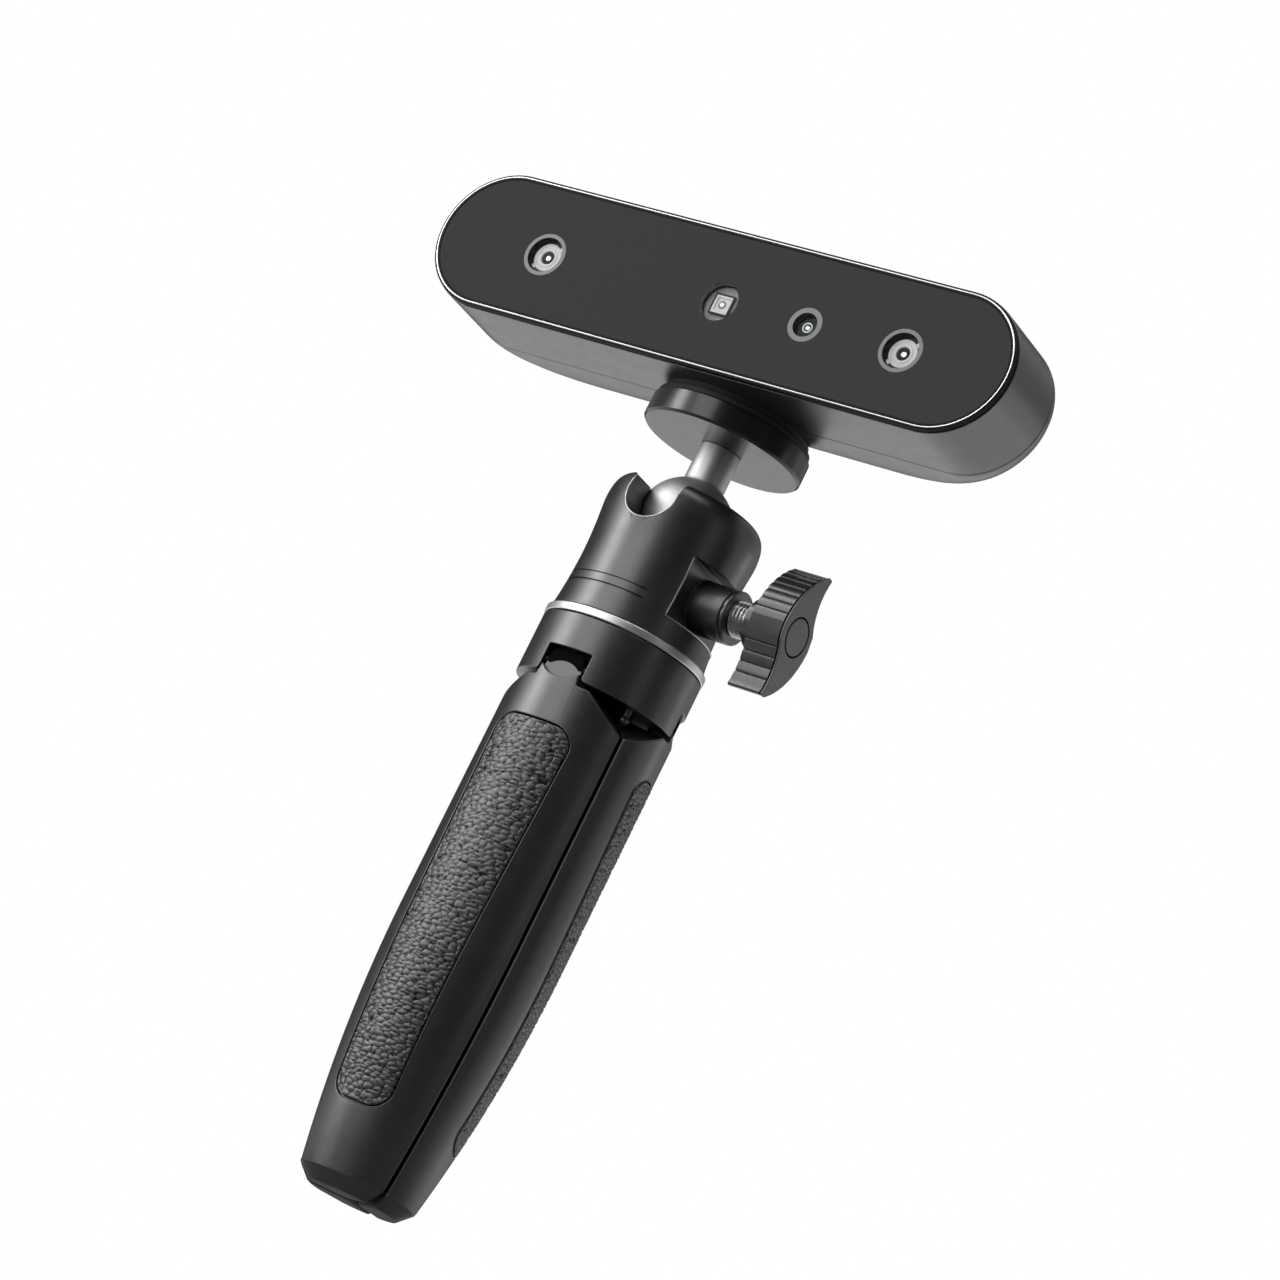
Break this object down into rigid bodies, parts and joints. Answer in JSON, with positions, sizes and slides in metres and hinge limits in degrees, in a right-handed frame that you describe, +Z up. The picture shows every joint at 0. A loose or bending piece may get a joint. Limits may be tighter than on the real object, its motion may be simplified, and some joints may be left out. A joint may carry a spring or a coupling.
{
  "type": "handheld 3D scanner",
  "caption": "Bar-shaped handheld 3D scanner on a ball head with a wing lock knob; its round grip folds out into a small tripod.",
  "frame": {"origin": "on the handle's axis, on the surface that the closed feet stand on", "axes": "+Z runs up the handle, -Y is the way the lenses look, +X is the side of the lock knob"},
  "size_m": [0.155, 0.0442, 0.2293],
  "materials": {
    "satin_black": "satin black coat",
    "hub_black": "satin moulded",
    "leg_black": "satin moulded",
    "grip": "pebbled grain",
    "foot_black": "fine texture",
    "silver": "fine brushed",
    "steel": "turned",
    "stud_metal": "bright plated",
    "seat": "natural acetal",
    "bush_metal": "nickelled thread",
    "knob_black": "satin moulded",
    "disc_black": "polished black",
    "pad_rubber": "matt",
    "shell_black": "fine satin",
    "cover_grey": "fine satin",
    "bezel": "diamond-cut edge",
    "front_black": "black printed glass",
    "window": "clear",
    "lens_glass": "coated",
    "inner_black": "black",
    "inner_metal": "die cast",
    "camera_grey": "light grey",
    "board_green": "solder mask",
    "switch_black": "moulded",
    "light_guide": "frosted",
    "button_grey": "fine satin"
  },
  "bodies": {
    "handle": {"ball_housing": "satin_black", "silver_ring": "silver", "leg_hub": "hub_black", "hub_core": "inner_black", "hub_bolt": "steel", "leg_pins": "steel", "detent_studs": "foot_black"},
    "front_leg": {"leg_front": "leg_black", "grip_pad_front": "grip", "foot_front": "foot_black"},
    "right_leg": {"leg_right": "leg_black", "grip_pad_right": "grip", "foot_right": "foot_black"},
    "left_leg": {"leg_left": "leg_black", "grip_pad_left": "grip", "foot_left": "foot_black"},
    "ball_cup": {"seat_cup": "seat"},
    "ball_stud": {"ball_stem": "stud_metal", "swivel_clip": "steel"},
    "plunger": {"pressure_plunger": "steel"},
    "wedge": {"wedge_slider": "steel"},
    "lock_knob": {"lock_screw": "steel", "screw_collar": "bush_metal", "wing_knob": "knob_black", "knob_cap": "knob_black"},
    "scanner": {"platform_disc": "disc_black", "platform_pad": "pad_rubber", "mount_screw": "steel", "front_glass": "front_black", "lens_windows": "window", "bezel_ring": "bezel", "front_frame": "inner_black", "body_shell": "shell_black", "rear_cover": "cover_grey", "tripod_block": "inner_metal", "chassis_plate": "inner_metal", "left_camera": "camera_grey", "right_camera": "camera_grey", "colour_camera": "inner_black", "pattern_projector": "camera_grey", "camera_lenses": "lens_glass", "camera_boards": "board_green", "main_board": "board_green", "heat_spreader": "inner_metal", "rear_board": "board_green", "tact_switches": "switch_black", "usb_socket": "steel", "status_light": "light_guide", "cover_screws": "steel"},
    "start_key": {"start_button": "button_grey"},
    "plus_key": {"plus_button": "button_grey"},
    "minus_key": {"minus_button": "button_grey"}
  },
  "joints": [
    {"name": "front_leg_swing", "type": "hinge", "parent": "handle", "child": "front_leg", "pos_m": [0, -0.0166, 0.1238], "axis": [-1, 0, 0], "range_deg": [0, 50]},
    {"name": "right_leg_swing", "type": "hinge", "parent": "handle", "child": "right_leg", "pos_m": [0.01438, 0.0083, 0.1238], "axis": [0.5, -0.866, 0], "range_deg": [0, 50]},
    {"name": "left_leg_swing", "type": "hinge", "parent": "handle", "child": "left_leg", "pos_m": [-0.01438, 0.0083, 0.1238], "axis": [0.5, 0.866, 0], "range_deg": [0, 50]},
    {"name": "ball_side_tilt", "type": "hinge", "parent": "handle", "child": "ball_cup", "pos_m": [0, 0, 0.1673], "axis": [0, 1, 0], "range_deg": [-18, 18]},
    {"name": "ball_front_tilt", "type": "hinge", "parent": "ball_cup", "child": "ball_stud", "pos_m": [0, 0, 0.1673], "axis": [1, 0, 0], "range_deg": [-18, 90]},
    {"name": "platform_spin", "type": "hinge", "parent": "ball_stud", "child": "scanner", "pos_m": [0, 0, 0.1863], "axis": [0, 0, 1], "continuous": true},
    {"name": "wedge_slide", "type": "slide", "parent": "handle", "child": "wedge", "axis": [1, 0, 0], "range_m": [0, 0.00075]},
    {"name": "knob_turn", "type": "hinge", "parent": "wedge", "child": "lock_knob", "pos_m": [0, 0, 0.1503], "axis": [1, 0, 0], "range_deg": [0, 270]},
    {"name": "plunger_slide", "type": "slide", "parent": "handle", "child": "plunger", "axis": [0, 0, 1], "range_m": [-0.00041, 0]},
    {"name": "start_press", "type": "slide", "parent": "scanner", "child": "start_key", "axis": [0, -1, 0], "range_m": [0, 0.0006], "stiffness_N_per_m": 800, "springref_m": -0.0012},
    {"name": "plus_press", "type": "slide", "parent": "scanner", "child": "plus_key", "axis": [0, -1, 0], "range_m": [0, 0.0006], "stiffness_N_per_m": 800, "springref_m": -0.0012},
    {"name": "minus_press", "type": "slide", "parent": "scanner", "child": "minus_key", "axis": [0, -1, 0], "range_m": [0, 0.0006], "stiffness_N_per_m": 800, "springref_m": -0.0012}
  ],
  "couplings": [
    {"joint": "knob_turn", "follows": "wedge_slide", "rad_per_m": 6283.2},
    {"joint": "plunger_slide", "follows": "wedge_slide", "ratio": -0.5317}
  ]
}
